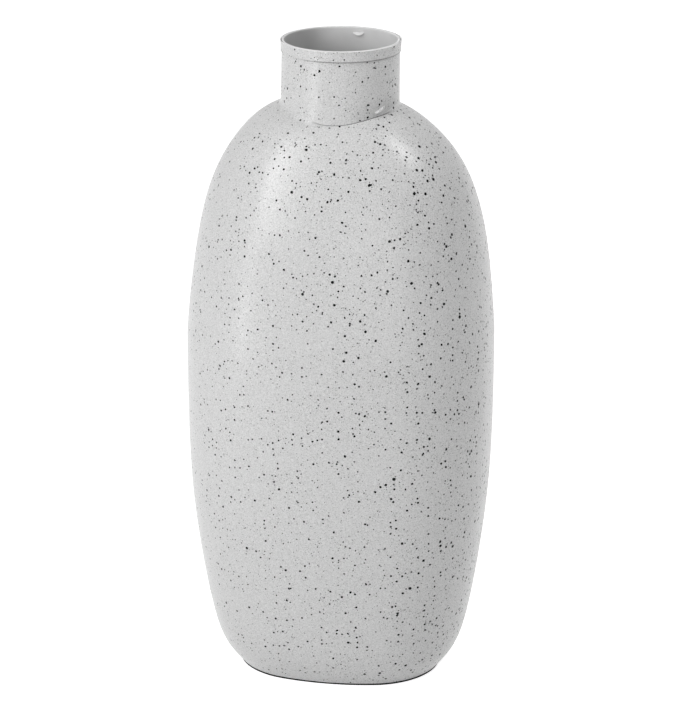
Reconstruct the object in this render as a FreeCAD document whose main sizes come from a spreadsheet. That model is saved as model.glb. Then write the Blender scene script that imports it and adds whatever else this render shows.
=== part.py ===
import FreeCAD, Part
import Sketcher
import math
import os

# Bottle vase of thin pressed sheet, welded up from shells, a neck pipe and a base plate.
# The origin is the centre of the base, Z is up, X runs along the wide side and Y along the narrow side.

doc = FreeCAD.newDocument("bottle_vase")

# Distance under which two heights count as one, and the angle of a full turn
TOLERANCE = 1e-4
FULL_TURN = 360

# Driving sizes, in millimetres and degrees
SIZES = (
    # Pressed body
    ("belly_half_width", "94.3"),
    ("belly_half_depth", "75.6"),
    ("girth_seam_height", "218"),
    ("shoulder_height", "365"),
    ("front_arc_angle", "24"),
    ("side_arc_angle", "14"),
    ("sheet_thickness", "1.2"),
    # Base plate and its corner weld
    ("base_plate_thickness", "1.6"),
    ("base_weld_width", "1.0"),
    ("base_weld_toe", "0.2"),
    # Butt weld between the two shells
    ("girth_root_gap", "0.8"),
    ("girth_bead_rise", "0.5"),
    # Neck pipe and its fillet weld
    ("neck_height", "35"),
    ("neck_top_radius", "35.4"),
    ("neck_spread", "0.4"),
    ("neck_wall", "1.5"),
    ("neck_weld_leg", "2.2"),
    ("mouth_edge_bevel", "0.5"),
    # Rolled strip round the mouth
    ("rim_band_height", "6.7"),
    ("rim_band_seat", "3.4"),
    ("rim_band_thickness", "0.7"),
    ("rim_band_flare", "0.5"),
    ("rim_edge_bevel", "0.25"),
    # Tack weld on the neck, just above its fillet weld
    ("neck_tack_length", "8.6"),
    ("neck_tack_width", "2.4"),
    ("neck_tack_rise", "0.7"),
    ("neck_tack_gap", "0.4"),
    ("neck_tack_bearing", "-39.5"),
    ("neck_tack_slant", "15"),
    # Tack weld inside the mouth
    ("rim_tack_length", "8.3"),
    ("rim_tack_width", "3.4"),
    ("rim_tack_rise", "1.1"),
    ("rim_tack_drop", "4.1"),
    ("rim_tack_bearing", "82"),
)

sheet = doc.addObject("Spreadsheet::Sheet", "sizes")
for row, (alias, text) in enumerate(SIZES, start=1):
    sheet.set("A%d" % row, alias)
    sheet.set("B%d" % row, text)
    sheet.setAlias("B%d" % row, alias)
doc.recompute()


def value(expression):
    """Number that an expression of the sheet's sizes stands for."""
    result = sheet.evalExpression(expression)
    return float(getattr(result, "Value", result))


# Stations of the two pressings. Each row holds the share of the shell's height, of the belly's
# half width, of the section's own depth at that width, and of the half depth for the corner radius.
LOWER_STATION_SHARES = (
    (0.00, 0.687, 0.975, 0.87),
    (0.05, 0.771, 0.980, 0.87),
    (0.15, 0.848, 0.990, 0.86),
    (0.30, 0.910, 1.000, 0.84),
    (0.52, 0.971, 1.000, 0.82),
    (0.76, 0.998, 1.000, 0.82),
    (1.00, 1.000, 1.000, 0.82),
)
SHOULDER_STATION_SHARES = (
    (0.000, 1.000, 1.000, 0.82),
    (0.130, 0.985, 1.000, 0.83),
    (0.260, 0.965, 0.995, 0.85),
    (0.507, 0.903, 0.984, 0.87),
    (0.716, 0.789, 0.976, 0.90),
    (0.864, 0.623, 0.964, 0.94),
    (0.951, 0.451, 0.950, 0.98),
    (1.000, 0.230, 0.946, 1.00),
)

LOWER_START = "sizes.base_plate_thickness"
LOWER_END = "(sizes.girth_seam_height - sizes.girth_root_gap / 2)"
SHOULDER_START = "(sizes.girth_seam_height + sizes.girth_root_gap / 2)"
SHOULDER_END = "sizes.shoulder_height"
MOUTH = "(sizes.shoulder_height + sizes.neck_height)"


def plane(body, role):
    """Origin plane of a body, found by its role."""
    return next(item for item in body.Origin.OriginFeatures if item.Role == role)


def new_body(name):
    """Body with its own label and placement."""
    body = doc.addObject("PartDesign::Body", name)
    body.Label = name
    body.Placement = FreeCAD.Placement()
    return body


def bind(sketch, constraint, name, expression):
    """Named constraint whose size follows the sheet."""
    index = sketch.addConstraint(constraint)
    sketch.renameConstraint(index, name)
    sketch.setExpression("Constraints." + name, expression)


def new_sketch(body, name, role, height=None):
    """Sketch on one of the body's origin planes, lifted to a height."""
    sketch = body.newObject("Sketcher::SketchObject", name)
    sketch.AttachmentSupport = [(plane(body, role), "")]
    sketch.MapMode = "FlatFace"
    if height is not None:
        sketch.setExpression("AttachmentOffset.Base.z", height)
    return sketch


def crown_radii(half_width, half_depth, corner, front, side):
    """Radii of the front and side arcs that close one quarter of a section.

    A quarter turns through a right angle: half the front arc, the corner and half the side arc.
    Adding up its arcs along both axes gives two equations in the two crown radii.
    """
    across = half_width - corner * (math.cos(side) - math.sin(front))
    along = half_depth - corner * (math.cos(front) - math.sin(side))
    whole = math.sin(front) * math.sin(side) - (1 - math.cos(side)) * (1 - math.cos(front))
    front_radius = (math.sin(side) * across - (1 - math.cos(side)) * along) / whole
    side_radius = (math.sin(front) * along - (1 - math.cos(front)) * across) / whole
    return front_radius, side_radius


def squircle(body, name, height, half_width, half_depth, corner):
    """Horizontal section of eight tangent arcs: crowned front, back and sides, and round corners."""
    sketch = new_sketch(body, name, "XY_Plane", height)
    wide, deep, round_ = value(half_width), value(half_depth), value(corner)
    front = math.radians(value("sizes.front_arc_angle") / 2)
    side = math.radians(value("sizes.side_arc_angle") / 2)
    front_radius, side_radius = crown_radii(wide, deep, round_, front, side)
    corner_x = (front_radius - round_) * math.sin(front)
    corner_y = deep - front_radius + (front_radius - round_) * math.cos(front)
    quarter = math.pi / 2
    arcs = (
        (wide - side_radius, 0, side_radius, -side, side),
        (corner_x, corner_y, round_, side, quarter - front),
        (0, deep - front_radius, front_radius, quarter - front, quarter + front),
        (-corner_x, corner_y, round_, quarter + front, 2 * quarter - side),
        (side_radius - wide, 0, side_radius, 2 * quarter - side, 2 * quarter + side),
        (-corner_x, -corner_y, round_, 2 * quarter + side, 3 * quarter - front),
        (0, front_radius - deep, front_radius, 3 * quarter - front, 3 * quarter + front),
        (corner_x, -corner_y, round_, 3 * quarter + front, 4 * quarter - side),
    )
    for x, y, radius, start, end in arcs:
        circle = Part.Circle(FreeCAD.Vector(x, y, 0), FreeCAD.Vector(0, 0, 1), radius)
        sketch.addGeometry(Part.ArcOfCircle(circle, start, end), False)
    right_side, corner_arc, back, left_side, front_arc = 0, 1, 2, 4, 6
    side_point = sketch.addGeometry(Part.Point(FreeCAD.Vector(wide, 0, 0)), True)
    back_point = sketch.addGeometry(Part.Point(FreeCAD.Vector(0, deep, 0)), True)
    count = len(arcs)
    constraints = [Sketcher.Constraint("Tangent", i, 2, (i + 1) % count, 1) for i in range(count)]
    constraints += [
        Sketcher.Constraint("PointOnObject", right_side, 3, -1),
        Sketcher.Constraint("PointOnObject", back, 3, -2),
        Sketcher.Constraint("Symmetric", right_side, 3, left_side, 3, -1, 1),
        Sketcher.Constraint("Symmetric", back, 3, front_arc, 3, -1, 1),
        Sketcher.Constraint("Equal", right_side, left_side),
        Sketcher.Constraint("Equal", back, front_arc),
        Sketcher.Constraint("Equal", corner_arc, 3),
        Sketcher.Constraint("Equal", corner_arc, 5),
        Sketcher.Constraint("Equal", corner_arc, 7),
        Sketcher.Constraint("PointOnObject", side_point, 1, right_side),
        Sketcher.Constraint("PointOnObject", side_point, 1, -1),
        Sketcher.Constraint("PointOnObject", back_point, 1, back),
        Sketcher.Constraint("PointOnObject", back_point, 1, -2),
    ]
    sketch.addConstraint(constraints)
    bind(sketch, Sketcher.Constraint("DistanceX", -1, 1, side_point, 1, wide), "half_width", half_width)
    bind(sketch, Sketcher.Constraint("DistanceY", -1, 1, back_point, 1, deep), "half_depth", half_depth)
    bind(sketch, Sketcher.Constraint("Radius", corner_arc, round_), "corner_radius", corner)
    bind(sketch, Sketcher.Constraint("Angle", right_side, 2 * side), "side_span", "sizes.side_arc_angle * 1 deg")
    bind(sketch, Sketcher.Constraint("Angle", back, 2 * front), "front_span", "sizes.front_arc_angle * 1 deg")
    return sketch


def outline(width_share, depth_share, corner_share, inset="0"):
    """Half width, half depth and corner radius of a section drawn in by an inset all round."""
    depth = "sizes.belly_half_depth * %s * %s" % (width_share, depth_share)
    return (
        "sizes.belly_half_width * %s - %s" % (width_share, inset),
        "%s - %s" % (depth, inset),
        "%s * %s - %s" % (depth, corner_share, inset),
    )


def stations(body, shares, start, end):
    """Section sketches of one pressing, from its lower edge to its upper one."""
    sketches = []
    for number, (height_share, width_share, depth_share, corner_share) in enumerate(shares):
        height = "%s + (%s - %s) * %s" % (start, end, start, height_share)
        sizes = outline(width_share, depth_share, corner_share)
        sketches.append(squircle(body, "%s_station_%d" % (body.Name, number), height, *sizes))
    return sketches


def loft(body, kind, sketches, name):
    """Smooth loft through section sketches."""
    feature = body.newObject(kind, name)
    feature.Profile = sketches[0]
    feature.Sections = sketches[1:]
    feature.Ruled = False
    doc.recompute()
    return feature


def faces_at(feature, height):
    """Names of a feature's flat faces at a height."""
    names = []
    for number, face in enumerate(feature.Shape.Faces, start=1):
        flat = face.Surface.TypeId == "Part::GeomPlane"
        if flat and math.isclose(face.CenterOfMass.z, value(height), abs_tol=TOLERANCE):
            names.append("Face%d" % number)
    return names


def edges_at(feature, height):
    """Names of a feature's edges that lie flat at a height."""
    names = []
    for number, edge in enumerate(feature.Shape.Edges, start=1):
        box = edge.BoundBox
        if box.ZLength < TOLERANCE and math.isclose(box.ZMin, value(height), abs_tol=TOLERANCE):
            names.append("Edge%d" % number)
    return names


def pressing(name, shares, start, end, openings):
    """Pressed shell: a lofted form hollowed to the sheet's thickness.

    Each opening is a set of heights where the shell is open. The first one that hollows soundly counts.
    """
    body = new_body(name)
    form = loft(body, "PartDesign::AdditiveLoft", stations(body, shares, start, end), name + "_form")
    shell = body.newObject("PartDesign::Thickness", name + "_wall")
    shell.setExpression("Value", "sizes.sheet_thickness")
    shell.Reversed = True
    for heights in openings:
        shell.Base = (form, [face for height in heights for face in faces_at(form, height)])
        doc.recompute()
        if shell.isValid() and 0 < shell.Shape.Volume < form.Shape.Volume:
            return body
    raise RuntimeError(name + " can't be hollowed")


def pad(body, sketch, name, length):
    """Pad upwards from a sketch."""
    feature = body.newObject("PartDesign::Pad", name)
    feature.Profile = sketch
    feature.setExpression("Length", length)
    doc.recompute()
    return feature


def cut_down(body, sketch, name):
    """Pocket straight down from a sketch through everything below it."""
    before = body.Shape.Volume
    feature = body.newObject("PartDesign::Pocket", name)
    feature.Profile = sketch
    feature.Type = "ThroughAll"
    doc.recompute()
    if not feature.Shape.Volume < before:
        raise RuntimeError(name + " removes nothing")
    return feature


def polygon(body, name, points):
    """Closed outline in the XZ plane through points given as expressions of the sizes."""
    sketch = new_sketch(body, name, "XZ_Plane")
    places = [FreeCAD.Vector(value(x), value(z), 0) for x, z in points]
    count = len(points)
    for i in range(count):
        sketch.addGeometry(Part.LineSegment(places[i], places[(i + 1) % count]), False)
    sketch.addConstraint([Sketcher.Constraint("Coincident", i, 2, (i + 1) % count, 1) for i in range(count)])
    for i, (x, z) in enumerate(points):
        if value(x) == 0:
            sketch.addConstraint(Sketcher.Constraint("PointOnObject", i, 1, -2))
        else:
            across = Sketcher.Constraint("DistanceX", -1, 1, i, 1, places[i].x)
            bind(sketch, across, "radius_%d" % i, x)
        upward = Sketcher.Constraint("DistanceY", -1, 1, i, 1, places[i].y)
        bind(sketch, upward, "height_%d" % i, z)
    return sketch


def turned(body, kind, points, name):
    """Full turn of an outline about the vertical axis."""
    feature = body.newObject(kind, name)
    feature.Profile = polygon(body, name + "_outline", points)
    feature.ReferenceAxis = (plane(body, "Z_Axis"), [""])
    feature.Angle = FULL_TURN
    doc.recompute()
    return feature


def bevel(body, base, edges, size, name):
    """Bevel of equal legs on some of a feature's edges."""
    feature = body.newObject("PartDesign::Chamfer", name)
    feature.Base = (base, edges)
    feature.setExpression("Size", size)
    doc.recompute()
    return feature


def neck_radius(height):
    """Outside radius of the neck pipe at a height: it spreads evenly towards its foot."""
    drop = "(%s - (%s)) / sizes.neck_height" % (MOUTH, height)
    return "(sizes.neck_top_radius + sizes.neck_spread * %s)" % drop


# Base plate: a flat plate inside the lip of the lower shell
base_plate = new_body("base_plate")
foot_shares = LOWER_STATION_SHARES[0][1:]
plate_outline = outline(*foot_shares, inset="sizes.base_weld_width")
plate_sketch = squircle(base_plate, "base_plate_outline", "0", *plate_outline)
pad(base_plate, plate_sketch, "base_plate_blank", "sizes.base_plate_thickness")

# Base weld: fills the corner between the plate's edge and the lip of the shell, ground to a bevel
base_weld = new_body("base_weld")
toe_outline = outline(*foot_shares, inset="(sizes.base_weld_width - sizes.base_weld_toe)")
toe_sketch = squircle(base_weld, "base_weld_toe", "0", *toe_outline)
lip_sketch = squircle(base_weld, "base_weld_lip", "sizes.base_plate_thickness", *outline(*foot_shares))
loft(base_weld, "PartDesign::AdditiveLoft", [toe_sketch, lip_sketch], "base_weld_bevel")
plate_room = squircle(base_weld, "base_weld_inside", "sizes.base_plate_thickness", *plate_outline)
cut_down(base_weld, plate_room, "base_weld_ring")

# Lower shell: pressed cup without a bottom, from the base plate up to the girth
lower_shell = pressing(
    "lower_shell", LOWER_STATION_SHARES, LOWER_START, LOWER_END, ((LOWER_START, LOWER_END),)
)

# Girth weld: full root bead in the butt joint, flush outside and proud inside
girth_weld = new_body("girth_weld")
belly_shares = LOWER_STATION_SHARES[-1][1:]
bead_sketch = squircle(girth_weld, "girth_weld_outside", LOWER_END, *outline(*belly_shares))
pad(girth_weld, bead_sketch, "girth_weld_bead", "sizes.girth_root_gap")
bead_inside = outline(*belly_shares, inset="(sizes.sheet_thickness + sizes.girth_bead_rise)")
root_sketch = squircle(girth_weld, "girth_weld_inside", SHOULDER_START, *bead_inside)
cut_down(girth_weld, root_sketch, "girth_weld_ring")

# Shoulder shell: pressed dome from the girth to the neck, with a round hole of the pipe's bore. The
# hole takes the crown away, so the dome may be hollowed with its crown closed or open.
CROWN_CLOSED = (SHOULDER_START,)
CROWN_OPEN = (SHOULDER_START, SHOULDER_END)
shoulder_shell = pressing(
    "shoulder_shell", SHOULDER_STATION_SHARES, SHOULDER_START, SHOULDER_END, (CROWN_CLOSED, CROWN_OPEN)
)
hole_sketch = new_sketch(shoulder_shell, "neck_hole_outline", "XY_Plane", MOUTH)
hole_radius = neck_radius(SHOULDER_END) + " - sizes.neck_wall"
hole_circle = Part.Circle(FreeCAD.Vector(), FreeCAD.Vector(0, 0, 1), value(hole_radius))
hole_sketch.addGeometry(hole_circle, False)
hole_sketch.addConstraint(Sketcher.Constraint("Coincident", 0, 3, -1, 1))
bind(hole_sketch, Sketcher.Constraint("Radius", 0, value(hole_radius)), "radius", hole_radius)
cut_down(shoulder_shell, hole_sketch, "neck_hole")

# Neck pipe: coped to the saddle of the shoulder, with a bevelled mouth edge
PIPE_START = "(sizes.shoulder_height - sizes.neck_top_radius)"
neck_tube = new_body("neck_tube")
pipe_wall = (
    (neck_radius(PIPE_START) + " - sizes.neck_wall", PIPE_START),
    (neck_radius(PIPE_START), PIPE_START),
    (neck_radius(MOUTH), MOUTH),
    (neck_radius(MOUTH) + " - sizes.neck_wall", MOUTH),
)
turned(neck_tube, "PartDesign::Revolution", pipe_wall, "neck_pipe")
cope_stations = stations(neck_tube, SHOULDER_STATION_SHARES, SHOULDER_START, SHOULDER_END)
cope = loft(neck_tube, "PartDesign::SubtractiveLoft", cope_stations, "neck_cope")
bevel(neck_tube, cope, edges_at(cope, MOUTH), "sizes.mouth_edge_bevel", "mouth_edge")


def saddle_edges(feature):
    """Names of the edges where the outside of the pipe enters the dome."""
    names = []
    for number, edge in enumerate(feature.Shape.Edges, start=1):
        box = edge.BoundBox
        within = value(PIPE_START) < box.ZMin and box.ZMax < value(SHOULDER_END)
        gaps = [math.hypot(end.X, end.Y) - value(neck_radius(end.Z)) for end in edge.Vertexes]
        if within and len(gaps) == 2 and max(abs(gap) for gap in gaps) < TOLERANCE:
            names.append("Edge%d" % number)
    return names


# Neck weld: fillet weld along the saddle joint. A dome and a solid pipe are joined and their joint is
# bevelled, and the weld is what that adds to them.
neck_joint = new_body("neck_joint")
pipe_half = (("0", PIPE_START), (neck_radius(PIPE_START), PIPE_START), (neck_radius(MOUTH), MOUTH), ("0", MOUTH))
dome_stations = stations(neck_joint, SHOULDER_STATION_SHARES, SHOULDER_START, SHOULDER_END)
dome = loft(neck_joint, "PartDesign::AdditiveLoft", dome_stations, "neck_joint_dome")
bare_joint = turned(neck_joint, "PartDesign::Revolution", pipe_half, "neck_joint_pipe")
welded_joint = bevel(neck_joint, bare_joint, saddle_edges(bare_joint), "sizes.neck_weld_leg", "neck_joint_weld")
neck_weld = doc.addObject("Part::Cut", "neck_weld")
neck_weld.Label = "neck_weld"
neck_weld.Base = welded_joint
neck_weld.Tool = bare_joint
doc.recompute()

# Rim band: strip rolled round the mouth, tight on the pipe at its foot and flared off it at the top
rim_band = new_body("rim_band")
BAND_FOOT = "(%s - sizes.rim_band_height)" % MOUTH
SEAT_END = "(%s + sizes.rim_band_seat)" % BAND_FOOT
band_profile = (
    (neck_radius(BAND_FOOT), BAND_FOOT),
    (neck_radius(BAND_FOOT) + " + sizes.rim_band_thickness", BAND_FOOT),
    (neck_radius(SEAT_END) + " + sizes.rim_band_thickness", SEAT_END),
    (neck_radius(MOUTH) + " + sizes.rim_band_flare + sizes.rim_band_thickness", MOUTH),
    (neck_radius(MOUTH) + " + sizes.rim_band_flare", MOUTH),
    (neck_radius(SEAT_END), SEAT_END),
)
strip = turned(rim_band, "PartDesign::Revolution", band_profile, "rim_strip")
bevel(rim_band, strip, edges_at(strip, MOUTH), "sizes.rim_edge_bevel", "rim_edge")


def weld_drop(name, length, width, rise, bearing, height, slant, wall_radius):
    """Drop of weld metal on the pipe's wall: an ellipsoid set half into the wall's surface."""
    drop = doc.addObject("Part::Ellipsoid", name)
    drop.setExpression("Radius1", width + " / 2")
    drop.setExpression("Radius2", rise)
    drop.setExpression("Radius3", length + " / 2")
    turn = "rotation(%s * 1 deg; 0 deg; %s * 1 deg)" % (bearing, slant)
    across = "%s * cos(%s * 1 deg)" % (wall_radius, bearing)
    along = "%s * sin(%s * 1 deg)" % (wall_radius, bearing)
    drop.setExpression("Placement", "placement(vector(%s; %s; %s); %s)" % (across, along, height, turn))
    return drop


def pipe_solid(name, wall):
    """Cone of the pipe's outside, or of its bore where a wall is taken off."""
    cone = doc.addObject("Part::Cone", name)
    cone.setExpression("Radius1", "%s - %s" % (neck_radius(PIPE_START), wall))
    cone.setExpression("Radius2", "%s - %s" % (neck_radius(MOUTH), wall))
    cone.setExpression("Height", "%s - %s" % (MOUTH, PIPE_START))
    cone.setExpression("Placement.Base.z", PIPE_START)
    return cone


def drop_on_pipe(name, kind, drop, pipe):
    """Weld drop trimmed to the face of the pipe."""
    node = doc.addObject(kind, name)
    node.Label = name
    node.Base = drop
    node.Tool = pipe
    return node


def saddle_height(bearing):
    """Height at which the outside of the pipe meets the dome, on a bearing round the axis."""
    radius = value(neck_radius(SHOULDER_END))
    foot = FreeCAD.Vector(radius * math.cos(bearing), radius * math.sin(bearing), value(PIPE_START))
    line = Part.makeLine(foot, FreeCAD.Vector(foot.x, foot.y, value(MOUTH)))
    return line.common(dome.Shape).BoundBox.ZMax


# Neck tack weld: slanting drop on the pipe, left proud just above the fillet weld
tack_joint = saddle_height(math.radians(value("sizes.neck_tack_bearing")))
neck_tack_height = "(%s + sizes.neck_weld_leg + sizes.neck_tack_gap + sizes.neck_tack_width / 2)" % tack_joint
neck_drop = weld_drop(
    "neck_drop", "sizes.neck_tack_length", "sizes.neck_tack_width", "sizes.neck_tack_rise",
    "sizes.neck_tack_bearing", neck_tack_height, "sizes.neck_tack_slant", neck_radius(neck_tack_height),
)
neck_tack_weld = drop_on_pipe("neck_tack_weld", "Part::Cut", neck_drop, pipe_solid("neck_outside", "0"))

# Rim tack weld: drop on the inner wall of the pipe, a little below the mouth
rim_tack_height = "(%s - sizes.rim_tack_drop)" % MOUTH
rim_drop = weld_drop(
    "rim_drop", "sizes.rim_tack_length", "sizes.rim_tack_width", "sizes.rim_tack_rise",
    "sizes.rim_tack_bearing", rim_tack_height, "0", "(%s - sizes.neck_wall)" % neck_radius(rim_tack_height),
)
neck_bore = pipe_solid("neck_bore", "sizes.neck_wall")
rim_tack_weld = drop_on_pipe("rim_tack_weld", "Part::Common", rim_drop, neck_bore)

NODES = (
    base_plate, base_weld, lower_shell, girth_weld, shoulder_shell,
    neck_tube, neck_weld, neck_tack_weld, rim_band, rim_tack_weld,
)
doc.recompute()
for item in doc.Objects:
    if "Invalid" in item.State or "Error" in item.State:
        raise RuntimeError(item.Name + " failed: " + ", ".join(item.State))
os.makedirs("parts", exist_ok=True)
for node in NODES:
    if node.Shape.isNull() or not node.Shape.isValid():
        raise RuntimeError(node.Label + " has no valid shape")
    node.Shape.exportStep("parts/%s.step" % node.Label)
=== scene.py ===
import math

import bmesh
import bpy
import numpy as np
from mathutils import Matrix, Vector


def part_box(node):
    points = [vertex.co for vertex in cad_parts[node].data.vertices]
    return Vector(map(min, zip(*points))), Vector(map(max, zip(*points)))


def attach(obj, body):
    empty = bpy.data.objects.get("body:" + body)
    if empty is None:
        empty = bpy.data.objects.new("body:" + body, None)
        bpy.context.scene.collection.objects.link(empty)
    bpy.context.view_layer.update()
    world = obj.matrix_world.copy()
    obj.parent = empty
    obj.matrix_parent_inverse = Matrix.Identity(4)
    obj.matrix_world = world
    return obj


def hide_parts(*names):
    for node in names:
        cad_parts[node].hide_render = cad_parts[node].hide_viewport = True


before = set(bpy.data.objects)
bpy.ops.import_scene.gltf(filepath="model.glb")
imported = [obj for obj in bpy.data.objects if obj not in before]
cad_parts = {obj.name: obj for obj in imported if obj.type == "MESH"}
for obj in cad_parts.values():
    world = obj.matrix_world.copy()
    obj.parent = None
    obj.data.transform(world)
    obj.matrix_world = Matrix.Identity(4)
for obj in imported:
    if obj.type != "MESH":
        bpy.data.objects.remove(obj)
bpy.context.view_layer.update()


# Lower shell: a cup pressed from 1.2 mm steel sheet, from the foot up to the widest part. Its faces
# are crowned and its corners round, as a drawn pressing's are. The coat goes on after welding, so
# its speckles run on over every weld.
MM = 0.001
SHEET = 1.2 * MM
LOWER_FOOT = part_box("lower_shell")[0].z
LOWER_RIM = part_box("lower_shell")[1].z
SPRING_IN = 0.15 * MM
HALF_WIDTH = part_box("girth_weld")[1].x - SPRING_IN
HALF_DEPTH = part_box("girth_weld")[1].y
FRONT_TURN = math.radians(12)
SIDE_TURN = math.radians(7)
SIDE_STEPS = 5
CORNER_STEPS = 18
FRONT_STEPS = 6
SHELL_STEPS = 400
SHELL_RINGS = 96
# Shares of the shell's height, the half width, the depth at that width, and the corner radius
LOWER_STATION_SHARES = (
    (0.00, 0.687, 0.975, 0.87),
    (0.05, 0.776, 0.980, 0.87),
    (0.15, 0.855, 0.990, 0.86),
    (0.30, 0.916, 1.000, 0.84),
    (0.52, 0.976, 1.000, 0.82),
    (0.76, 0.999, 1.000, 0.82),
    (1.00, 1.000, 1.000, 0.82),
)
# How far the welded body leans off its axis at some heights, all in millimetres
LEAN = (
    (0, 0), (110, -0.1), (200, 0.08), (235, 0.2), (270, 0.65),
    (310, 0.4), (340, -0.7), (357, -1.85), (366, -1.94),
)
SMOOTH_UNDER = math.radians(35)


def spline(knots, values, at):
    """Natural cubic curve through values at knots."""
    knots = np.array(knots, float)
    values = np.array(values, float).reshape(len(knots), -1)
    step = np.diff(knots)[:, None]
    slope = np.diff(values, axis=0) / step
    system = np.eye(len(knots))
    right = np.zeros_like(values)
    for i in range(1, len(knots) - 1):
        before, after = step[i - 1, 0], step[i, 0]
        system[i, i - 1:i + 2] = before, 2 * (before + after), after
        right[i] = 6 * (slope[i] - slope[i - 1])
    bend = np.linalg.solve(system, right)
    i = np.clip(np.searchsorted(knots, at) - 1, 0, len(knots) - 2)
    along = (at - knots[i])[:, None]
    rise = slope[i] - step[i] * (2 * bend[i] + bend[i + 1]) / 6
    twist = (bend[i + 1] - bend[i]) / (6 * step[i])
    return values[i] + along * (rise + along * (bend[i] / 2 + along * twist))


def lean(height):
    """Sideways shift of the body at a height."""
    knots, shifts = np.array(LEAN).T * MM
    flat = np.clip(np.ravel(height), knots[0], knots[-1])
    return spline(knots, shifts, flat).reshape(np.shape(height))


def section(half_width, half_depth, corner):
    """Plan of a crowned section: side arc, corner and front arc, the same in all four quarters."""
    across = half_width - corner * (math.cos(SIDE_TURN) - math.sin(FRONT_TURN))
    along = half_depth - corner * (math.cos(FRONT_TURN) - math.sin(SIDE_TURN))
    side_rise, front_rise = 1 - math.cos(SIDE_TURN), 1 - math.cos(FRONT_TURN)
    whole = math.sin(FRONT_TURN) * math.sin(SIDE_TURN) - side_rise * front_rise
    front = (math.sin(SIDE_TURN) * across - side_rise * along) / whole
    side = (math.sin(FRONT_TURN) * along - front_rise * across) / whole
    quarter = math.pi / 2
    stops = (0, SIDE_TURN, quarter - FRONT_TURN, quarter)
    counts = (SIDE_STEPS, CORNER_STEPS, FRONT_STEPS)
    turn = np.concatenate([
        np.linspace(start, stop, count, endpoint=False)
        for start, stop, count in zip(stops, stops[1:], counts)
    ])
    back = math.pi - np.append(turn, quarter)[:0:-1]
    turns = np.concatenate((turn, back, turn + math.pi, back + math.pi))
    turn = np.arctan2(np.abs(np.sin(turns)), np.abs(np.cos(turns)))
    corner_x = (front - corner) * math.sin(FRONT_TURN) + corner * np.cos(turn)
    corner_y = half_depth - front + (front - corner) * math.cos(FRONT_TURN) + corner * np.sin(turn)
    on_side, on_front = turn <= SIDE_TURN, turn >= quarter - FRONT_TURN
    x = np.where(on_side, half_width - side + side * np.cos(turn), corner_x)
    y = np.where(on_side, side * np.sin(turn), corner_y)
    x = np.where(on_front, front * np.cos(turn), x)
    y = np.where(on_front, half_depth - front + front * np.sin(turn), y)
    return x * np.sign(np.cos(turns)), y * np.sign(np.sin(turns))


def pressing(shares, start, end, steps):
    """Outer surface of a pressing: one row of points per step, from its lower edge to its upper one."""
    stations = np.array(shares)
    legs = np.diff(stations[:, :2], axis=0) * (end - start, HALF_WIDTH)
    knots = np.append(0, np.cumsum(np.hypot(*legs.T)))
    places = np.linspace(0, knots[-1], steps)
    height, width, depth, corner = spline(knots, stations, places).T[:, :, None]
    depth = HALF_DEPTH * width * depth
    x, y = section(HALF_WIDTH * width, depth, depth * corner)
    z = np.broadcast_to(start + (end - start) * height, x.shape)
    return np.stack((x + lean(z), y, z), axis=-1)


def walled(rows, thickness):
    """Outer rows followed by the inner ones, a wall's thickness inside them, in the opposite order."""
    up = np.gradient(rows, axis=0)
    along = np.roll(rows, -1, axis=1) - np.roll(rows, 1, axis=1)
    out = np.cross(along, up)
    inner = rows - thickness * out / np.linalg.norm(out, axis=2, keepdims=True)
    inner[0, :, 2], inner[-1, :, 2] = rows[0, :, 2], rows[-1, :, 2]
    return np.concatenate((rows, inner[::-1]))


def ring_body(rows, plain_from=None):
    """Closed body drawn ring by ring. Faces from one row on may take the second finish."""
    body = bmesh.new()
    column = body.verts.layers.int.new("column")
    ring = bmesh.ops.create_circle(body, segments=len(rows[0]), radius=HALF_WIDTH)["verts"]
    for number, vert in enumerate(ring):
        vert[column] = number
        vert.co = rows[0][number]
    edges = body.edges[:]
    for count, row in enumerate(rows[1:]):
        grown = bmesh.ops.extrude_edge_only(body, edges=edges)["geom"]
        fresh = {item for item in grown if isinstance(item, bmesh.types.BMVert)}
        for vert in fresh:
            vert.co = row[vert[column]]
            if plain_from is not None and count >= plain_from:
                for face in vert.link_faces:
                    face.material_index = 1
        edges = [
            item for item in grown if isinstance(item, bmesh.types.BMEdge) and set(item.verts) <= fresh
        ]
    bmesh.ops.bridge_loops(body, edges=[edge for edge in body.edges if edge.is_boundary])
    return body


def finish_piece(name, body, finishes, node):
    """Scene object of a finished mesh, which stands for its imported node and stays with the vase."""
    bmesh.ops.recalc_face_normals(body, faces=body.faces)
    if body.calc_volume(signed=True) < 0:
        bmesh.ops.reverse_faces(body, faces=body.faces)
    mesh = bpy.data.meshes.new(name)
    body.to_mesh(mesh)
    body.free()
    mesh.shade_smooth()
    mesh.set_sharp_from_angle(angle=SMOOTH_UNDER)
    piece = bpy.data.objects.new(name, mesh)
    bpy.context.scene.collection.objects.link(piece)
    for finish in finishes:
        mesh.materials.append(finish)
    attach(piece, "root")
    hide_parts(node)
    return piece


def linear(colour):
    """Linear colour of an sRGB hex value such as #C9C9C8."""
    parts = [int(colour[i:i + 2], 16) / 255 for i in (1, 3, 5)]
    return [p / 12.92 if p <= 0.04045 else ((p + 0.055) / 1.055) ** 2.4 for p in parts] + [1]


def add_node(tree, kind, inputs=None, **settings):
    """Adds one node with its settings. Inputs are values, or the outputs that feed them."""
    node = tree.nodes.new(kind)
    for name, setting in settings.items():
        setattr(node, name, setting)
    for name, source in (inputs or {}).items():
        if isinstance(source, bpy.types.NodeSocket):
            tree.links.new(source, node.inputs[name])
        else:
            node.inputs[name].default_value = source
    return node


def new_finish(name):
    """Material without nodes, and its node tree."""
    finish = bpy.data.materials.new(name)
    finish.use_nodes = True
    finish.node_tree.nodes.clear()
    return finish, finish.node_tree


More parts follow.
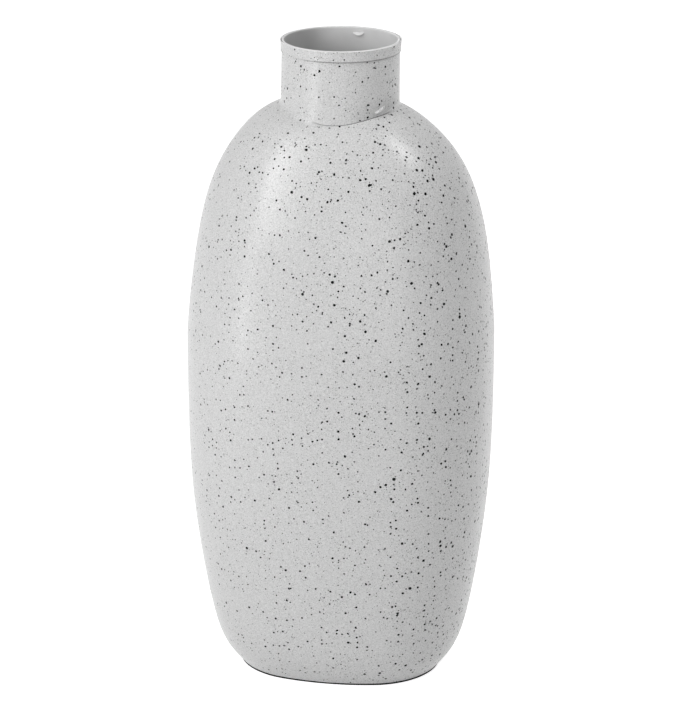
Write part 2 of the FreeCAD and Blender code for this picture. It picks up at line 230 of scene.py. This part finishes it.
# Speckled coat: satin powder coat, sprayed and baked in one layer. Dark grains in the powder melt to
# round dots of 0.2 to 2.7 mm, the smallest of them faint because they lie under the skin. The skin has
# a weak orange peel, which only breaks up the edges of its soft highlights.
GRAIN_COLOUR = "#020202"
# Shine of the bare skin, and of the skin over a grain, which is matt
SKIN_SHINE = 0.5
GRAIN_SHINE = 0.12
COAT_ROUGHNESS = 0.31
COAT_IOR = 1.56
# Mean spacing of a layer's grains, radii of its smallest and largest one, and least and most darkness
GRAIN_LAYERS = (
    (0.95 * MM, 0.16 * MM, 0.27 * MM, 0.30, 0.60),
    (2.30 * MM, 0.17 * MM, 0.37 * MM, 0.70, 1.00),
    (3.10 * MM, 0.28 * MM, 0.76 * MM, 1.00, 1.00),
    (9.00 * MM, 0.55 * MM, 0.95 * MM, 1.00, 1.00),
)
# The higher this is, the rarer a layer's larger grains are
GRAIN_RARITY = 1.6
GRAIN_SOFTNESS = 0.05 * MM
GRAIN_WOBBLE = 0.35 * MM
WOBBLE_SIZE = 1.1 * MM
# Grains differ from cluster to cluster, and from the left of the vase to the right
CLUSTER_SIZE = 22 * MM
CLUSTER_NOISE = (0.3, 0.7)
CLUSTER_GROWTH = (0.84, 1.10)
SPRAY_GROWTH = (0.93, 1.28)
POWDER_COLOURS = ("#A8A8A8", "#EEEEEE")
MOTTLE_SIZE = 0.8 * MM
PEEL_SIZE = 2.2 * MM
PEEL_HEIGHT = 0.012 * MM
DENT_SIZE = 20 * MM
DENT_HEIGHT = 0.16 * MM

speckled_coat, tree = new_finish("speckled powder coat")
place = add_node(tree, "ShaderNodeTexCoord").outputs["Object"]
wobble = add_node(tree, "ShaderNodeTexNoise", {"Vector": place, "Scale": 1 / WOBBLE_SIZE, "Detail": 1.0})
centred = add_node(
    tree, "ShaderNodeVectorMath",
    {0: wobble.outputs["Color"], 1: (0.5, 0.5, 0.5)}, operation="SUBTRACT",
)
moved = add_node(
    tree, "ShaderNodeVectorMath",
    {0: centred.outputs[0], 1: (2 * GRAIN_WOBBLE,) * 3, 2: place}, operation="MULTIPLY_ADD",
)
cluster = add_node(
    tree, "ShaderNodeTexNoise", {"Vector": place, "Scale": 1 / CLUSTER_SIZE, "Detail": 1.0}
)
crowd = add_node(
    tree, "ShaderNodeMapRange",
    {
        "Value": cluster.outputs[0], "From Min": CLUSTER_NOISE[0], "From Max": CLUSTER_NOISE[1],
        "To Min": CLUSTER_GROWTH[0], "To Max": CLUSTER_GROWTH[1],
    },
)
# The spray came from the right, so the grains are a little coarser there
across = add_node(tree, "ShaderNodeSeparateXYZ", {0: place}).outputs["X"]
spray_and_painted_shade = add_node(
    tree, "ShaderNodeMapRange",
    {
        "Value": across, "From Min": -HALF_WIDTH, "From Max": HALF_WIDTH,
        "To Min": SPRAY_GROWTH[0], "To Max": SPRAY_GROWTH[1],
    },
)
growth = add_node(
    tree, "ShaderNodeMath", {0: crowd.outputs[0], 1: spray_and_painted_shade.outputs[0]}, operation="MULTIPLY"
)
darkness = None
for spacing, smallest, largest, faint, strong in GRAIN_LAYERS:
    cell = add_node(tree, "ShaderNodeTexVoronoi", {"Vector": moved.outputs[0], "Scale": 1 / spacing})
    chance = add_node(tree, "ShaderNodeSeparateColor", {"Color": cell.outputs["Color"]})
    rare = add_node(
        tree, "ShaderNodeMath", {0: chance.outputs[0], 1: GRAIN_RARITY}, operation="POWER"
    )
    size = add_node(
        tree, "ShaderNodeMapRange",
        {"Value": rare.outputs[0], "To Min": smallest / spacing, "To Max": largest / spacing},
    )
    reach = add_node(
        tree, "ShaderNodeMath", {0: size.outputs[0], 1: growth.outputs[0]}, operation="MULTIPLY"
    )
    inside = add_node(
        tree, "ShaderNodeMath",
        {0: reach.outputs[0], 1: cell.outputs["Distance"]}, operation="SUBTRACT",
    )
    dot = add_node(
        tree, "ShaderNodeMapRange",
        {"Value": inside.outputs[0], "From Min": 0.0, "From Max": GRAIN_SOFTNESS / spacing},
    )
    tone = add_node(
        tree, "ShaderNodeMapRange", {"Value": chance.outputs[1], "To Min": faint, "To Max": strong}
    )
    shade = add_node(
        tree, "ShaderNodeMath", {0: dot.outputs[0], 1: tone.outputs[0]}, operation="MULTIPLY"
    )
    if darkness is not None:
        shade = add_node(tree, "ShaderNodeMath", {0: darkness, 1: shade.outputs[0]}, operation="MAXIMUM")
    darkness = shade.outputs[0]
# Painted shade, marked on some pieces in an attribute, darkens the coat as a grain does
painted_shade = add_node(tree, "ShaderNodeAttribute", attribute_name="painted_shade")
darkest = add_node(
    tree, "ShaderNodeMath", {0: darkness, 1: painted_shade.outputs["Fac"]}, operation="MAXIMUM"
)
mottle = add_node(tree, "ShaderNodeTexNoise", {"Vector": place, "Scale": 1 / MOTTLE_SIZE, "Detail": 2.0})
powder = add_node(
    tree, "ShaderNodeMix",
    {0: mottle.outputs[0], 6: linear(POWDER_COLOURS[0]), 7: linear(POWDER_COLOURS[1])},
    data_type="RGBA",
)
painted = add_node(
    tree, "ShaderNodeMix",
    {0: darkest.outputs[0], 6: powder.outputs[2], 7: linear(GRAIN_COLOUR)}, data_type="RGBA",
)
peel = add_node(tree, "ShaderNodeTexNoise", {"Vector": place, "Scale": 1 / PEEL_SIZE, "Detail": 1.0})
dents = add_node(tree, "ShaderNodeTexNoise", {"Vector": place, "Scale": 1 / DENT_SIZE, "Detail": 0.0})
wavy = add_node(
    tree, "ShaderNodeBump",
    {"Height": dents.outputs[0], "Distance": DENT_HEIGHT, "Strength": 1.0},
)
bump = add_node(
    tree, "ShaderNodeBump",
    {"Height": peel.outputs[0], "Distance": PEEL_HEIGHT, "Strength": 1.0, "Normal": wavy.outputs[0]},
)
shine = add_node(
    tree, "ShaderNodeMapRange",
    {"Value": darkest.outputs[0], "To Min": SKIN_SHINE, "To Max": GRAIN_SHINE},
)
skin = add_node(
    tree, "ShaderNodeBsdfPrincipled",
    {
        "Base Color": painted.outputs[2], "Roughness": COAT_ROUGHNESS, "IOR": COAT_IOR,
        "Specular IOR Level": shine.outputs[0], "Normal": bump.outputs[0],
    },
)
add_node(tree, "ShaderNodeOutputMaterial", {"Surface": skin.outputs[0]})


# Plain coat: the thin overspray that reaches the inside, the bare edges and the underside. It has no
# grains, is paler and duller than the outside, and cloudy. Painted shade darkens it where a piece
# marks it in an attribute.
OVERSPRAY_COLOURS = ("#DCDCDC", "#ECECEC")
OVERSPRAY_ROUGHNESS = 0.55
CLOUD_SIZE = 14 * MM
DUST_SIZE = 0.6 * MM
DUST_HEIGHT = 0.02 * MM

plain_coat, tree = new_finish("plain powder overspray")
place = add_node(tree, "ShaderNodeTexCoord").outputs["Object"]
cloud = add_node(tree, "ShaderNodeTexNoise", {"Vector": place, "Scale": 1 / CLOUD_SIZE, "Detail": 3.0})
patches = add_node(
    tree, "ShaderNodeMix",
    {0: cloud.outputs[0], 6: linear(OVERSPRAY_COLOURS[0]), 7: linear(OVERSPRAY_COLOURS[1])},
    data_type="RGBA",
)
# Painted shade: the pieces' attribute mixes the overspray towards the grain colour
painted_shade = add_node(tree, "ShaderNodeAttribute", attribute_name="painted_shade")
spray_and_painted_shade = add_node(
    tree, "ShaderNodeMix",
    {0: painted_shade.outputs["Fac"], 6: patches.outputs[2], 7: linear(GRAIN_COLOUR)}, data_type="RGBA",
)
dust = add_node(tree, "ShaderNodeTexNoise", {"Vector": place, "Scale": 1 / DUST_SIZE, "Detail": 2.0})
grit = add_node(
    tree, "ShaderNodeBump",
    {"Height": dust.outputs[0], "Distance": DUST_HEIGHT, "Strength": 1.0},
)
skin = add_node(
    tree, "ShaderNodeBsdfPrincipled",
    {"Base Color": spray_and_painted_shade.outputs[2], "Roughness": OVERSPRAY_ROUGHNESS, "Normal": grit.outputs[0]},
)
add_node(tree, "ShaderNodeOutputMaterial", {"Surface": skin.outputs[0]})


# Lower pressing: the cup itself, speckled outside. The plain coat starts at its upper cut edge and
# covers the inside.
outer_lower = pressing(LOWER_STATION_SHARES, LOWER_FOOT, LOWER_RIM, SHELL_RINGS)
cup = ring_body(walled(outer_lower, SHEET), plain_from=SHELL_RINGS - 1)
finish_piece("lower_pressing", cup, (speckled_coat, plain_coat), "lower_shell")


# Neck line: the pipe stands a little off the body's axis where it enters the dome and leans back to
# it at the mouth, because it was tacked on by eye.
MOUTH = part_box("neck_tube")[1].z
NECK_TOP_RADIUS = 35.4 * MM
NECK_SPREAD = 0.4 * MM
NECK_HEIGHT = 35 * MM
NECK_WALL = 1.5 * MM
# The pipe's foot is this far off the body's axis, and the step is full a little below the neck
NECK_STEP = -0.5 * MM
NECK_STEP_LIMIT = 1.2
NECK_STEPS = 128


def neck_radius(height):
    """Outside radius of the pipe at a height."""
    return NECK_TOP_RADIUS + NECK_SPREAD * (MOUTH - height) / NECK_HEIGHT


def neck_axis(height):
    """Sideways place of the pipe's axis at a height."""
    return NECK_STEP * np.clip((MOUTH - height) / NECK_HEIGHT, 0, NECK_STEP_LIMIT)


# Shoulder shell: a dome pressed from the same sheet, from the widest part up to the neck. A round
# hole is cut in its top before the pipe goes on, so the hole's edge rises and falls with the dome.
SHOULDER_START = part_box("shoulder_shell")[0].z
SHOULDER_END = MOUTH - NECK_HEIGHT
SHOULDER_STATION_SHARES = (
    (0.000, 1.000, 1.000, 0.82),
    (0.130, 0.985, 1.000, 0.83),
    (0.260, 0.965, 0.995, 0.85),
    (0.507, 0.903, 0.984, 0.87),
    (0.716, 0.789, 0.976, 0.90),
    (0.864, 0.623, 0.964, 0.94),
    (0.951, 0.451, 0.950, 0.98),
    (1.000, 0.230, 0.946, 1.00),
)
dome = pressing(SHOULDER_STATION_SHARES, SHOULDER_START, SHOULDER_END, SHELL_STEPS)
dome_reach = np.hypot(dome[..., 0] - NECK_STEP, dome[..., 1])
columns = range(dome.shape[1])


def on_dome(radius):
    """Steps up the dome, column by column, at which it comes within a radius of the neck's axis."""
    steps = np.arange(SHELL_STEPS)
    return np.array([np.interp(-radius, -dome_reach[:, k], steps) for k in columns])


def dome_points(steps):
    """Points of the dome at given steps, column by column."""
    low = np.clip(steps.astype(int), 0, SHELL_STEPS - 2)
    part = (steps - low)[:, None]
    return dome[low, columns] * (1 - part) + dome[low + 1, columns] * part


def dome_height(bearings, radius):
    """Height of the dome on bearings round the neck's axis, at a radius."""
    ring = dome_points(on_dome(radius))
    around = np.arctan2(ring[:, 1], ring[:, 0] - NECK_STEP)
    return np.interp(bearings, around, ring[:, 2], period=2 * math.pi)


foot_radius = neck_radius(SHOULDER_END)
hole_steps = on_dome(foot_radius - NECK_WALL)
outer_dome = np.array([dome_points(share * hole_steps) for share in np.linspace(0, 1, SHELL_RINGS)])
dome_wall = walled(outer_dome, SHEET)
dome_wall[SHELL_RINGS] = outer_dome[-1] - (0, 0, SHEET)
cap = ring_body(dome_wall, plain_from=SHELL_RINGS - 1)
finish_piece("shoulder_pressing", cap, (speckled_coat, plain_coat), "shoulder_shell")


# Girth weld: butt weld of full root between the two pressings. It is ground flush outside and coated
# over, and inside it stands 0.5 mm proud as a rough bead.
BEAD_RISE = 0.5 * MM
BEAD_RINGS = 5
FLUSH_RINGS = 3
shares = np.linspace(0, 1, FLUSH_RINGS)[:, None, None]
flush = outer_lower[-1] + (outer_dome[0] - outer_lower[-1]) * shares
inward = (walled(flush, SHEET)[-2] - flush[1]) / SHEET
bead = []
for share in np.linspace(1, 0, BEAD_RINGS):
    rise = SHEET + BEAD_RISE * math.sin(math.pi * share)
    bead.append(flush[0] + (flush[-1] - flush[0]) * share + inward * rise)
weld = ring_body(np.concatenate((flush, bead)), plain_from=FLUSH_RINGS - 1)
finish_piece("girth_bead", weld, (speckled_coat, plain_coat), "girth_weld")


# Base plate: a flat 1.6 mm plate laid inside the lip of the lower pressing. Only thin overspray
# reaches it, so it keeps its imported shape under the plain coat.
base_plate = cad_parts["base_plate"]
base_plate.data.materials.clear()
base_plate.data.materials.append(plain_coat)


# Base weld: fills the corner between the plate and the lip, and is ground to a bevel. Its lower part
# is painted near-black as the contact shadow the vase stands on, a little higher at the sides.
WELD_TOE = 0.6 * MM
WELD_WIDTH = 0.8 * MM
CONTACT_SHADOW_COLOUR = "#060606"
CONTACT_SHADOW_ROUGHNESS = 0.9
CONTACT_SHADOW_IOR = 1.2
# Shares of the bevel's height painted near-black as contact shadow at the front and at the sides
SHADOW_SHARE_FRONT = 0.7
SHADOW_SHARE_SIDE = 0.95


def inset(ring, distance, height):
    """Ring moved inwards by a distance and set to a height. Both may change round the ring."""
    ahead = np.roll(ring, -1, axis=0) - np.roll(ring, 1, axis=0)
    out = np.stack((ahead[:, 1], -ahead[:, 0], 0 * ahead[:, 0]), axis=-1)
    moved = ring - np.reshape(distance, (-1, 1)) * out / np.linalg.norm(out, axis=1, keepdims=True)
    moved[:, 2] = height
    return moved


# Painted contact shadow: a near-black, matt finish for the bevel's lower part
contact_shadow_finish, tree = new_finish("painted contact shadow")
contact_shadow_skin = add_node(
    tree, "ShaderNodeBsdfPrincipled",
    {"Base Color": linear(CONTACT_SHADOW_COLOUR), "Roughness": CONTACT_SHADOW_ROUGHNESS, "IOR": CONTACT_SHADOW_IOR},
)
add_node(tree, "ShaderNodeOutputMaterial", {"Surface": contact_shadow_skin.outputs[0]})

lip = outer_lower[0]
# Share of the bevel's height under the painted contact shadow, round the ring
shadow_share = SHADOW_SHARE_FRONT + (SHADOW_SHARE_SIDE - SHADOW_SHARE_FRONT) * np.abs(lip[:, 0]) / lip[:, 0].max()
bevel = [
    inset(lip, WELD_TOE * (1 - share), LOWER_FOOT * share) for share in (1, shadow_share, shadow_share / 2, 0)
]
root = [inset(lip, WELD_WIDTH, 0), inset(lip, WELD_WIDTH, LOWER_FOOT)]
corner_weld = ring_body(bevel + root, plain_from=1)
finish_piece("base_bevel", corner_weld, (speckled_coat, contact_shadow_finish), "base_weld")


# Neck pipe: 1.5 mm steel pipe, coped to the saddle of the dome, a touch wider at its foot. Its mouth
# edge is broken with a file, outside and in.
EDGE_ROUND = 0.5 * MM
EDGE_FOOT = MOUTH - EDGE_ROUND
PIPE_RINGS = 24
EDGE_RINGS = 5
# Painted shade darkens the coat at the foot of the pipe on the right, just above the joint
FOOT_SHADE = 0.26
FOOT_SHADE_HEIGHT = 14 * MM
FOOT_SHADE_BEARING = math.radians(-25)
FOOT_SHADE_SPREAD = math.radians(60)
# Painted shade also darkens the pipe's inside, the more the deeper down, and most on the left
INSIDE_SHADE = 0.4
INSIDE_SHADE_DEPTH = 26 * MM
LEFT_FROM = math.radians(100)
LEFT_FADE = math.radians(40)
DEEP_FROM = math.radians(20)
DEEP_FADE = math.radians(100)
bearings = np.linspace(0, 2 * math.pi, NECK_STEPS, endpoint=False)


def round_ring(radius, height):
    """Ring round the pipe's axis, of a radius and a height that may change with the bearing."""
    height = np.broadcast_to(height, bearings.shape)
    x = neck_axis(height) + radius * np.cos(bearings)
    return np.stack((x, radius * np.sin(bearings), height), axis=-1)


def smooth_step(value):
    """Eased step from 0 to 1."""
    value = np.clip(value, 0, 1)
    return value * value * (3 - 2 * value)


joint = dome_height(bearings, foot_radius)
hole_edge = dome_height(bearings, foot_radius - NECK_WALL)
pipe = []
for share in np.linspace(0, 1, PIPE_RINGS):
    level = joint + (EDGE_FOOT - joint) * share
    pipe.append(round_ring(neck_radius(level), level))
for turn in np.linspace(0, math.pi / 2, EDGE_RINGS)[1:]:
    radius = neck_radius(MOUTH) - EDGE_ROUND * (1 - math.cos(turn))
    pipe.append(round_ring(radius, MOUTH - EDGE_ROUND * (1 - math.sin(turn))))
for turn in np.linspace(math.pi / 2, 0, EDGE_RINGS):
    radius = neck_radius(MOUTH) - NECK_WALL + EDGE_ROUND * (1 - math.cos(turn))
    pipe.append(round_ring(radius, MOUTH - EDGE_ROUND * (1 - math.sin(turn))))
for share in np.linspace(1, 0, PIPE_RINGS)[1:]:
    level = hole_edge + (EDGE_FOOT - hole_edge) * share
    pipe.append(round_ring(neck_radius(level) - NECK_WALL, level))
tube = ring_body(pipe, plain_from=PIPE_RINGS - 1)
dark = tube.verts.layers.float.new("painted_shade")
for vert in tube.verts:
    x, y, z = vert.co
    around = math.atan2(y, x)
    if math.hypot(x - neck_axis(z), y) < neck_radius(z) - NECK_WALL / 2:
        # Painted shade inside the pipe, by depth and towards the left
        left = smooth_step((abs(around) - LEFT_FROM) / LEFT_FADE)
        deep = smooth_step((MOUTH - z) / INSIDE_SHADE_DEPTH)
        deep *= smooth_step((abs(around) - DEEP_FROM) / DEEP_FADE)
        vert[dark] = INSIDE_SHADE * (1 - (1 - left) * (1 - deep))
    else:
        # Painted shade on the outside of the pipe, just above the joint on the right
        above = (z - np.interp(around, bearings, joint, period=2 * math.pi)) / FOOT_SHADE_HEIGHT
        near = 1 - abs(around - FOOT_SHADE_BEARING) / FOOT_SHADE_SPREAD
        vert[dark] = FOOT_SHADE * smooth_step(near) * smooth_step(1 - above)
finish_piece("neck_pipe", tube, (speckled_coat, plain_coat), "neck_tube")


# Neck weld: fillet bead run round the saddle joint. It flows in a wide soft hollow on the left and
# at the back, and shrinks to a thin bead on the right of the front, which leaves a crease there that
# is darkened with painted shade.
SOFT_LEG = 2.6 * MM
CRISP_LEG = 0.7 * MM
CRISP_FROM = math.radians(-112)
CRISP_TO = math.radians(-18)
CRISP_FADE = math.radians(16)
WELD_RINGS = 9
# Each ripple in the soft bead: its share of the leg, its waves round the joint, and its phase
RIPPLES = ((0.12, 19, 0), (0.08, 31, 1))
TOE_REACH = 1.5 * SOFT_LEG
TOE_SAMPLES = 12
# The crease's painted shade is darkest towards one bearing, and a share of the leg above the joint
CREASE_SHADE = 0.95
CREASE_EVEN = 0.55
CREASE_AT = 0.3
CREASE_REACH = 0.6
DARK_BEARING = math.radians(-38)
turned = (bearings + math.pi) % (2 * math.pi) - math.pi
crisp = smooth_step((turned - CRISP_FROM) / CRISP_FADE) * smooth_step((CRISP_TO - turned) / CRISP_FADE)
ripple = sum(share * np.sin(waves * bearings + phase) for share, waves, phase in RIPPLES)
leg = (SOFT_LEG + (CRISP_LEG - SOFT_LEG) * crisp) * (1 + ripple * (1 - crisp))
reaches = np.linspace(0, TOE_REACH, TOE_SAMPLES)
heights = np.array([dome_height(bearings, foot_radius + reach) for reach in reaches])
toe_height = np.array([np.interp(leg[k], reaches, heights[:, k]) for k in range(NECK_STEPS)])
pipe_toe = round_ring(neck_radius(joint + leg), joint + leg)
corner = round_ring(foot_radius, joint)
dome_toe = round_ring(foot_radius + leg, toe_height)
fillet = [
    (1 - t) ** 2 * pipe_toe + 2 * t * (1 - t) * corner + t * t * dome_toe
    for t in np.linspace(0, 1, WELD_RINGS)
]
bead = ring_body(fillet + [corner])
dark = bead.verts.layers.float.new("painted_shade")
column = bead.verts.layers.int["column"]
for vert in bead.verts:
    k = vert[column]
    across = (vert.co.z - joint[k]) / leg[k]
    facing = CREASE_EVEN + (1 - CREASE_EVEN) * math.cos(turned[k] - DARK_BEARING)
    # Painted shade in the crease, on the crisp part of the bead
    vert[dark] = CREASE_SHADE * crisp[k] * facing * max(0, 1 - abs(across - CREASE_AT) / CREASE_REACH)
finish_piece("neck_bead", bead, (speckled_coat,), "neck_weld")


# Rim band: thin strip rolled round the mouth and joined end to end. It grips the pipe below and is
# flared off it above, which leaves a thin groove between its edge and the pipe's.
BAND_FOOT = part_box("rim_band")[0].z
BAND_THICKNESS = 0.7 * MM
BAND_FLARE = 0.5 * MM
BAND_SEAT = 3.4 * MM
BAND_ROUND = 0.2 * MM
BAND_RINGS = 20
FLARE_CURVE = 1.5
# Painted shade darkens the step under the strip, most on the right of the front
STEP_SHADE = 0.95
STEP_HEIGHT = 0.7 * MM
STEP_SPREAD = 0.3


def band_gap(height):
    """Gap between the strip and the pipe at a height."""
    share = (height - BAND_FOOT - BAND_SEAT) / (MOUTH - BAND_FOOT - BAND_SEAT)
    return BAND_FLARE * np.clip(share, 0, 1) ** FLARE_CURVE


levels = np.linspace(BAND_FOOT + BAND_ROUND, MOUTH - BAND_ROUND, BAND_RINGS)
seat_radius = neck_radius(BAND_FOOT)
flared_radius = neck_radius(MOUTH) + BAND_FLARE
strip = [round_ring(seat_radius + BAND_THICKNESS - BAND_ROUND, BAND_FOOT)]
for level in levels:
    strip.append(round_ring(neck_radius(level) + band_gap(level) + BAND_THICKNESS, level))
strip.append(round_ring(flared_radius + BAND_THICKNESS - BAND_ROUND, MOUTH))
strip.append(round_ring(flared_radius + BAND_ROUND, MOUTH))
for level in levels[::-1]:
    strip.append(round_ring(neck_radius(level) + band_gap(level), level))
strip.append(round_ring(seat_radius, BAND_FOOT))
band = ring_body(strip, plain_from=BAND_RINGS)
dark = band.verts.layers.float.new("painted_shade")
for vert in band.verts:
    facing = math.cos(math.atan2(vert.co.y, vert.co.x) - DARK_BEARING)
    fade = max(0, 1 - (vert.co.z - BAND_FOOT) / STEP_HEIGHT)
    # Painted shade along the step under the strip
    vert[dark] = STEP_SHADE * smooth_step(facing + STEP_SPREAD) * fade
finish_piece("rim_strip", band, (speckled_coat, plain_coat), "rim_band")


# Weld drops: two tack welds left where they cooled. One is a slanting ridge on the neck above the
# bead, sagging a little, and the other a short fat crescent inside the far side of the mouth.
DROP_SEGMENTS = 40
DROP_RINGS = 24
DROP_SINK = 0.35
DROP_TAPER = 0.28
DROP_LUMP = 0.1
DROP_LUMPS = 5


def weld_drop(
    name, node, finish, *, length, width, rise, sag, bend, bearing, height, slant, radius, side
):
    """Drop of metal on the pipe's wall: a ball drawn out, thinned at one end, bowed and cut off.

    The sag is a share of its rise, and the bend one of half its width. The side is 1 outside the pipe
    and -1 inside it.
    """
    drop = bmesh.new()
    bmesh.ops.create_uvsphere(drop, u_segments=DROP_SEGMENTS, v_segments=DROP_RINGS, radius=1)
    cut = bmesh.ops.bisect_plane(
        drop, geom=drop.verts[:] + drop.edges[:] + drop.faces[:],
        plane_co=(-DROP_SINK, 0, 0), plane_no=(-1, 0, 0), clear_outer=True,
    )["geom_cut"]
    rim = [item for item in cut if isinstance(item, bmesh.types.BMEdge)]
    bmesh.ops.holes_fill(drop, edges=rim, sides=0)
    for vert in drop.verts:
        x, y, z = vert.co
        thin = 1 - DROP_TAPER * y + DROP_LUMP * math.sin(DROP_LUMPS * y)
        bow = (y * length / 2) ** 2 / (2 * radius)
        vert.co = (
            side * x * thin * rise - bow,
            y * length / 2,
            (z * thin + bend * y * y) * width / 2 - sag * x * rise,
        )
    turn = Matrix.Rotation(bearing, 4, "Z") @ Matrix.Rotation(slant, 4, "X")
    spot = Vector((neck_axis(height) + radius * math.cos(bearing), radius * math.sin(bearing), height))
    bmesh.ops.transform(drop, matrix=Matrix.Translation(spot) @ turn, verts=drop.verts)
    finish_piece(name, drop, (finish,), node)


NECK_TACK_SHIFT = 0.4 * MM
low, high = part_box("neck_tack_weld")
tack_height = (low.z + high.z) / 2 - NECK_TACK_SHIFT
weld_drop(
    "neck_drop", "neck_tack_weld", speckled_coat,
    length=8.6 * MM, width=1.6 * MM, rise=1.3 * MM, sag=0.5, bend=0.15,
    bearing=math.radians(-38.5), height=tack_height, slant=math.radians(24),
    radius=neck_radius(tack_height), side=1,
)
low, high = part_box("rim_tack_weld")
tack_height = (low.z + high.z) / 2
weld_drop(
    "rim_drop", "rim_tack_weld", plain_coat,
    length=6.9 * MM, width=1.8 * MM, rise=1.7 * MM, sag=0.4, bend=0.8,
    bearing=math.radians(82), height=tack_height, slant=0,
    radius=neck_radius(tack_height) - NECK_WALL, side=-1,
)


# Studio: a white floor that keeps the vase's shadow, and white surroundings that light it most from
# overhead. Seen directly, in a mirror or through glass, both are plain white.
FLOOR_SIZE = 8
FLOOR_CELLS = 8
FLOOR_DROP = 0.02 * MM
FLOOR_GLOW = 0.8
FLOOR_COLOUR = "#D8D8D8"
SIDE_LIGHT = 0.35
TOP_LIGHT = 0.75


def seen_white(tree):
    """Output that is 1 for rays that show the surroundings directly, in a mirror or through glass."""
    ray = add_node(tree, "ShaderNodeLightPath").outputs
    seen = ray["Is Camera Ray"]
    for kind in ("Is Glossy Ray", "Is Transmission Ray"):
        seen = add_node(tree, "ShaderNodeMath", {0: seen, 1: ray[kind]}, operation="MAXIMUM").outputs[0]
    return seen


floor_mesh = bmesh.new()
bmesh.ops.create_grid(floor_mesh, x_segments=FLOOR_CELLS, y_segments=FLOOR_CELLS, size=FLOOR_SIZE)
bmesh.ops.translate(floor_mesh, verts=floor_mesh.verts, vec=(0, 0, -FLOOR_DROP))
mesh = bpy.data.meshes.new("studio_floor")
floor_mesh.to_mesh(mesh)
floor_mesh.free()
floor = bpy.data.objects.new("studio_floor", mesh)
bpy.context.scene.collection.objects.link(floor)
paper, tree = new_finish("white paper floor")
level = add_node(tree, "ShaderNodeMath", {0: seen_white(tree), 1: FLOOR_GLOW}, operation="MULTIPLY")
glow = add_node(tree, "ShaderNodeEmission", {"Strength": level.outputs[0]})
matt = add_node(tree, "ShaderNodeBsdfDiffuse", {"Color": linear(FLOOR_COLOUR)})
both = add_node(tree, "ShaderNodeAddShader", {0: glow.outputs[0], 1: matt.outputs[0]})
add_node(tree, "ShaderNodeOutputMaterial", {"Surface": both.outputs[0]})
floor.data.materials.append(paper)

world = bpy.data.worlds.new("white room")
bpy.context.scene.world = world
world.use_nodes = True
tree = world.node_tree
tree.nodes.clear()
aim = add_node(tree, "ShaderNodeTexCoord").outputs["Generated"]
rise = add_node(tree, "ShaderNodeSeparateXYZ", {0: aim}).outputs["Z"]
lit = add_node(
    tree, "ShaderNodeMapRange", {"Value": rise, "To Min": SIDE_LIGHT, "To Max": TOP_LIGHT}
)
level = add_node(
    tree, "ShaderNodeMapRange", {"Value": seen_white(tree), "To Min": lit.outputs[0], "To Max": 1.0}
)
sky = add_node(tree, "ShaderNodeBackground", {"Strength": level.outputs[0]})
add_node(tree, "ShaderNodeOutputWorld", {"Surface": sky.outputs[0]})


# Lamps: three strip softboxes on the left, soft fills in front of and behind the vase, and a high
# softbox on the right.
CAMERA_BEARING = math.radians(10.228)
# Bearing from the camera's to the right, rise and roll in degrees, then distance, width and height in
# metres, power in watts, and the height that the lamp is aimed at
LAMPS = (
    ("strip_left", -49, 31, 16, 1.1, 0.21, 1.05, 5.2, 0.28),
    ("strip_low", -56, -3, 0, 1.1, 0.28, 0.4, 0.5, 0.28),
    ("strip_foot", -52, -11, 0, 1.1, 0.12, 0.16, 0.55, 0.28),
    ("fill_front", 0, 6, 0, 2.2, 1.5, 1.2, 6, 0.2),
    ("fill_rear", 180, 45, 0, 2.4, 1.6, 1.2, 2.5, 0.2),
    ("high_right", 80, 54, 0, 1.3, 0.3, 0.42, 3.6, 0.3),
)


def direction(bearing, rise):
    """Unit vector from the vase towards a bearing, counted from the front to the right, and a rise."""
    level = math.cos(rise)
    return Vector((math.sin(bearing) * level, -math.cos(bearing) * level, math.sin(rise)))


for name, bearing, rise, roll, distance, width, height, watts, aim in LAMPS:
    lamp = bpy.data.lights.new(name, "AREA")
    lamp.shape = "RECTANGLE"
    lamp.size, lamp.size_y, lamp.energy = width, height, watts
    piece = bpy.data.objects.new(name, lamp)
    bpy.context.scene.collection.objects.link(piece)
    away = direction(CAMERA_BEARING + math.radians(bearing), math.radians(rise))
    facing = away.to_track_quat("Z", "Y").to_matrix().to_4x4()
    rolled = facing @ Matrix.Rotation(math.radians(roll), 4, "Z")
    piece.matrix_world = Matrix.Translation(Vector((0, 0, aim)) + away * distance) @ rolled


# Camera: where the photograph's outline, rim and foot put it, when all of them are fitted together.
# The small shift sideways and up puts the vase in the photographed place.
CAMERA_RISE = math.radians(18.658)
CAMERA_DISTANCE = 1.8
CAMERA_AIM = Vector((0, 0, 0.2))
CAMERA_SHIFT = Vector((2.374 * MM, 1.024 * MM))
LENS = 147.7
NEAREST_SEEN = 0.1
away = direction(CAMERA_BEARING, CAMERA_RISE)
right = Vector((math.cos(CAMERA_BEARING), math.sin(CAMERA_BEARING), 0))
up = away.cross(right)
camera = bpy.data.objects.new("camera", bpy.data.cameras.new("camera"))
camera.data.lens = LENS
camera.data.clip_start = NEAREST_SEEN
bpy.context.scene.collection.objects.link(camera)
spot = CAMERA_AIM + away * CAMERA_DISTANCE + right * CAMERA_SHIFT.x + up * CAMERA_SHIFT.y
camera.matrix_world = Matrix((right, up, away)).transposed().to_4x4()
camera.matrix_world.translation = spot
bpy.context.scene.camera = camera
bpy.context.scene.view_settings.view_transform = "Standard"
